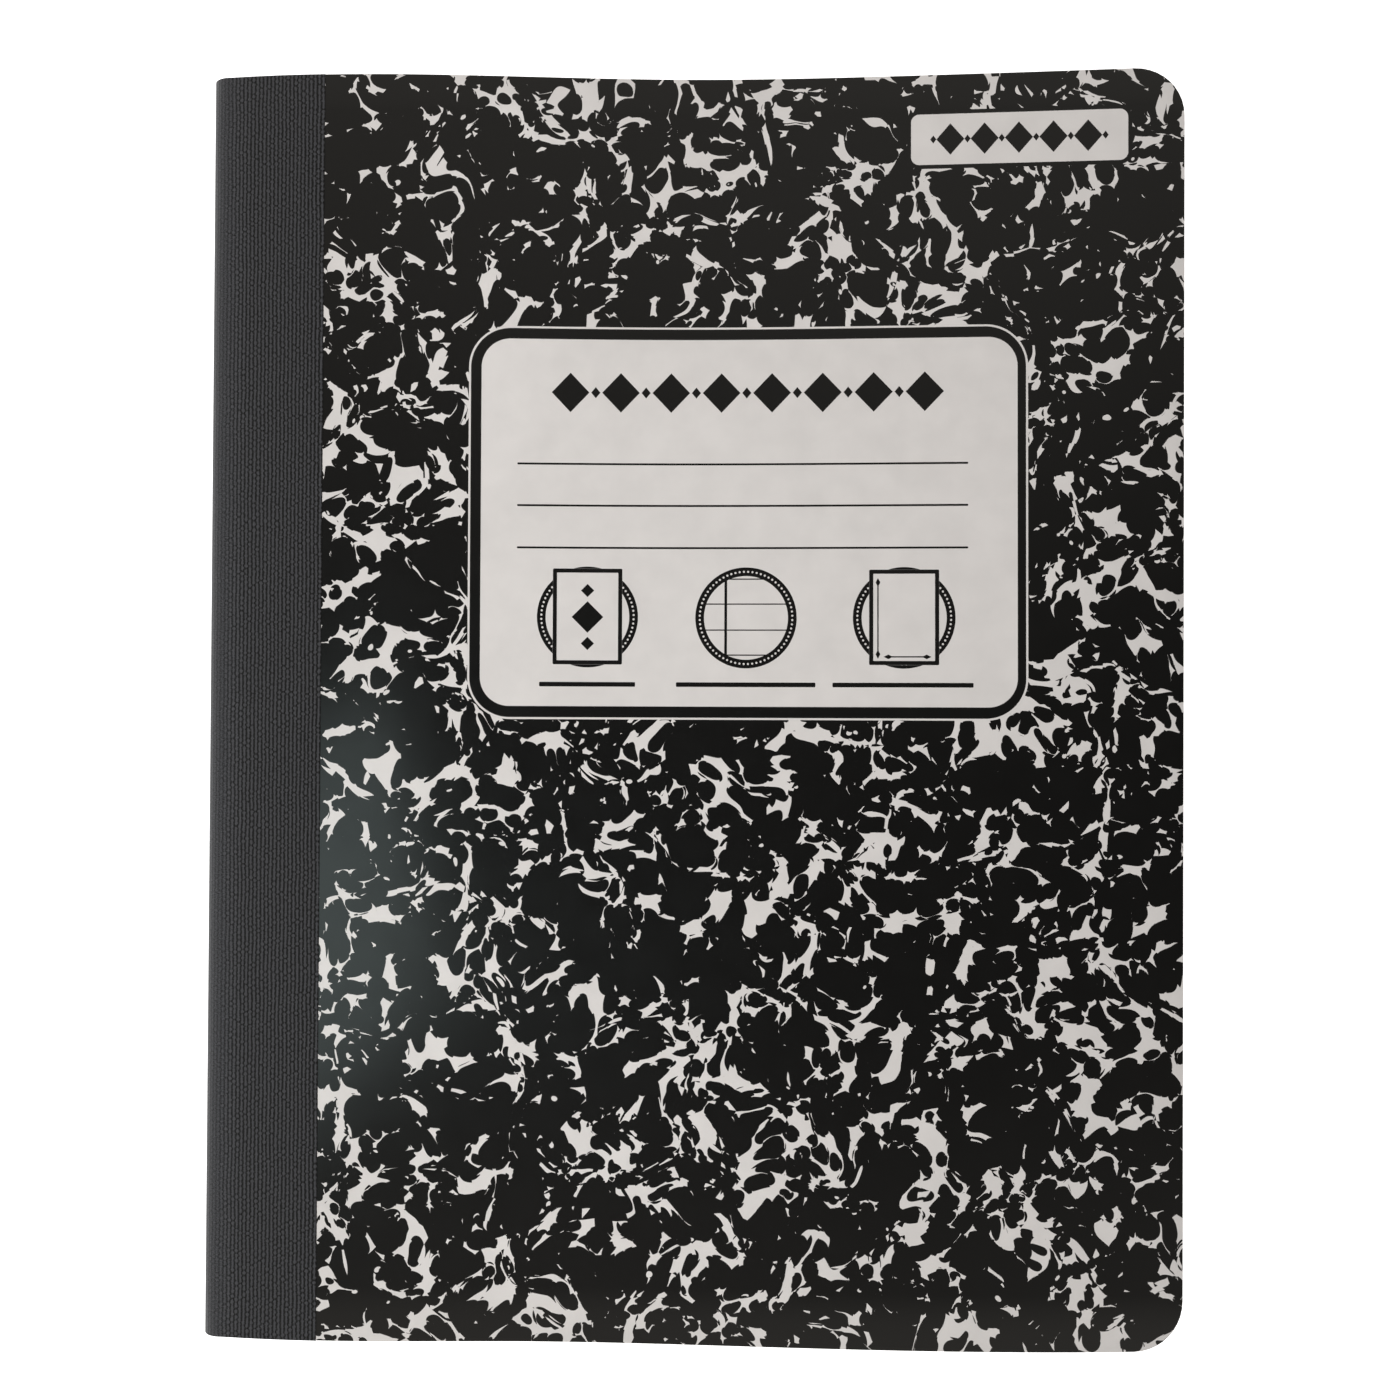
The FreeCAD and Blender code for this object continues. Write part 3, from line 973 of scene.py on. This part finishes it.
class NOTEBOOK_OT_leaves(bpy.types.Operator):
    """Builds the folded sheets of ruled paper"""

    bl_idname = "notebook.leaves"
    bl_label = "Leaves"

    def execute(self, context):
        colours, sizes = context.scene.notebook_colours, context.scene.notebook_sizes
        build_leaves(writing_paper(colours, sizes, False), writing_paper(colours, sizes, True))
        return {"FINISHED"}


class NOTEBOOK_OT_sewing(bpy.types.Operator):
    """Gives the sewing threads of the frame their cotton"""

    bl_idname = "notebook.sewing"
    bl_label = "Sewing"

    def execute(self, context):
        cotton = cotton_thread(context.scene.notebook_colours)
        for name in ("needle_thread", "bobbin_thread"):
            frame["nodes"][name].material_slots[0].material = cotton
        return {"FINISHED"}


class NOTEBOOK_OT_stage(bpy.types.Operator):
    """Sets the camera, the lights and the pale floor"""

    bl_idname = "notebook.stage"
    bl_label = "Stage"

    def execute(self, context):
        scene = context.scene
        scene.view_settings.view_transform = "Standard"
        # Background paper off a roll: white, matt and lit to pure white, as in the photograph
        material, tree = new_material("Seamless_paper_backdrop")
        here = add(tree, "TexCoord", out=3)
        grain = add(tree, "TexNoise", inputs={"Vector": here, "Scale": 1 / (2 * MM), "Detail": 3.0})
        finish(
            tree, grain, 0.01 * MM, Base_Color=(0.9, 0.9, 0.9, 1), Roughness=0.95,
            Emission_Color=(1, 1, 1, 1), Emission_Strength=1.0,
        )
        bm = bmesh.new()
        bmesh.ops.create_grid(bm, x_segments=1, y_segments=1, size=6.0)
        bmesh.ops.translate(bm, verts=bm.verts, vec=(0, 0, FLOOR_Z))
        floor = new_object("floor", bm, [material])

        world = bpy.data.worlds.new("Studio")
        scene.world = world
        world.use_nodes = True
        tree = world.node_tree
        tree.nodes.clear()
        # A white tent that lights the object. In its gloss the tent is warm, dark overhead, where the
        # camera hangs, and lighter towards the head and the foot
        toward = add(tree, "SeparateXYZ", add(tree, "TexCoord", out=0)).node.outputs["Y"]
        toward = add(tree, "Math", toward, 0.06, operation="ADD")
        toward = add(tree, "Math", toward, operation="ABSOLUTE")
        gloss = add(tree, "MapRange", toward, 0.12, 0.45, 0.1, 0.5)
        path = add(tree, "LightPath").node.outputs
        strength = add(tree, "MapRange", path["Is Glossy Ray"], 0.0, 1.0, 0.25, gloss)
        strength = add(tree, "MapRange", path["Is Camera Ray"], 0.0, 1.0, strength, 1.0)
        hue = add(
            tree, "Mix", path["Is Glossy Ray"], data_type="RGBA",
            inputs={6: (1, 1, 1, 1), 7: (1.0, 0.94, 0.85, 1)}, out=2,
        )
        add(tree, "OutputWorld", add(tree, "Background", hue, strength))

        # The cool window gives the sheen beside the tape, and the softbox overhead the rest of the light
        window = (-0.195, -0.085, 0.32), (-0.06, -0.04, 0.0), (0.14, 0.2), 0.14, (0.82, 1, 0.99)
        softbox = (-0.08, 0.0, 0.42), (-0.05, 0.0, 0.0), (0.6, 0.1), 1.34, (1, 0.976, 0.973)
        for name, lamp_values in (("window", window), ("softbox", softbox)):
            place, aim, size, power, colour = lamp_values
            light = bpy.data.lights.new(name, "AREA")
            light.shape = "RECTANGLE"
            light.size, light.size_y = size
            light.energy = power
            light.color = colour
            lamp = bpy.data.objects.new(name, light)
            lamp.location = place
            lamp.rotation_euler = (Vector(aim) - Vector(place)).to_track_quat("-Z", "Y").to_euler()
            scene.collection.objects.link(lamp)
            lamp.visible_glossy = name == "window"

        # The photograph's view: straight down from 0.31 m, on a square picture
        data = bpy.data.cameras.new("camera")
        data.sensor_width = 36.0
        data.lens = 39.957
        data.clip_start = 0.01
        camera = bpy.data.objects.new("camera", data)
        camera.location = (0.000017, -0.003672, 0.314208)
        camera.rotation_mode = "ZXY"
        camera.rotation_euler = [math.radians(a) for a in (0.87939, -0.37863, 0.22398)]
        scene.collection.objects.link(camera)
        scene.camera = camera
        return {"FINISHED"}


class NOTEBOOK_PT_panel(bpy.types.Panel):
    """Lists the steps that build the notebook"""

    bl_idname = "NOTEBOOK_PT_panel"
    bl_label = "Composition notebook"
    bl_space_type = "VIEW_3D"
    bl_region_type = "UI"
    bl_category = "Notebook"

    def draw(self, context):
        for operator in OPERATORS:
            self.layout.operator(operator.bl_idname)
        for group in (context.scene.notebook_sizes, context.scene.notebook_colours):
            box = self.layout.box()
            for name in group.__annotations__:
                box.prop(group, name)


OPERATORS = (
    NOTEBOOK_OT_cards,
    NOTEBOOK_OT_cloth,
    NOTEBOOK_OT_leaves,
    NOTEBOOK_OT_sewing,
    NOTEBOOK_OT_stage,
)
CLASSES = (NotebookSizes, NotebookColours, *OPERATORS, NOTEBOOK_PT_panel)


def register():
    for cls in CLASSES:
        bpy.utils.register_class(cls)
    bpy.types.Scene.notebook_sizes = PointerProperty(type=NotebookSizes)
    bpy.types.Scene.notebook_colours = PointerProperty(type=NotebookColours)


def unregister():
    del bpy.types.Scene.notebook_colours
    del bpy.types.Scene.notebook_sizes
    for cls in reversed(CLASSES):
        bpy.utils.unregister_class(cls)


def main():
    register()
    bpy.ops.notebook.cards()
    bpy.ops.notebook.cloth()
    bpy.ops.notebook.leaves()
    bpy.ops.notebook.sewing()
    bpy.ops.notebook.stage()


if __name__ == "__main__":
    main()
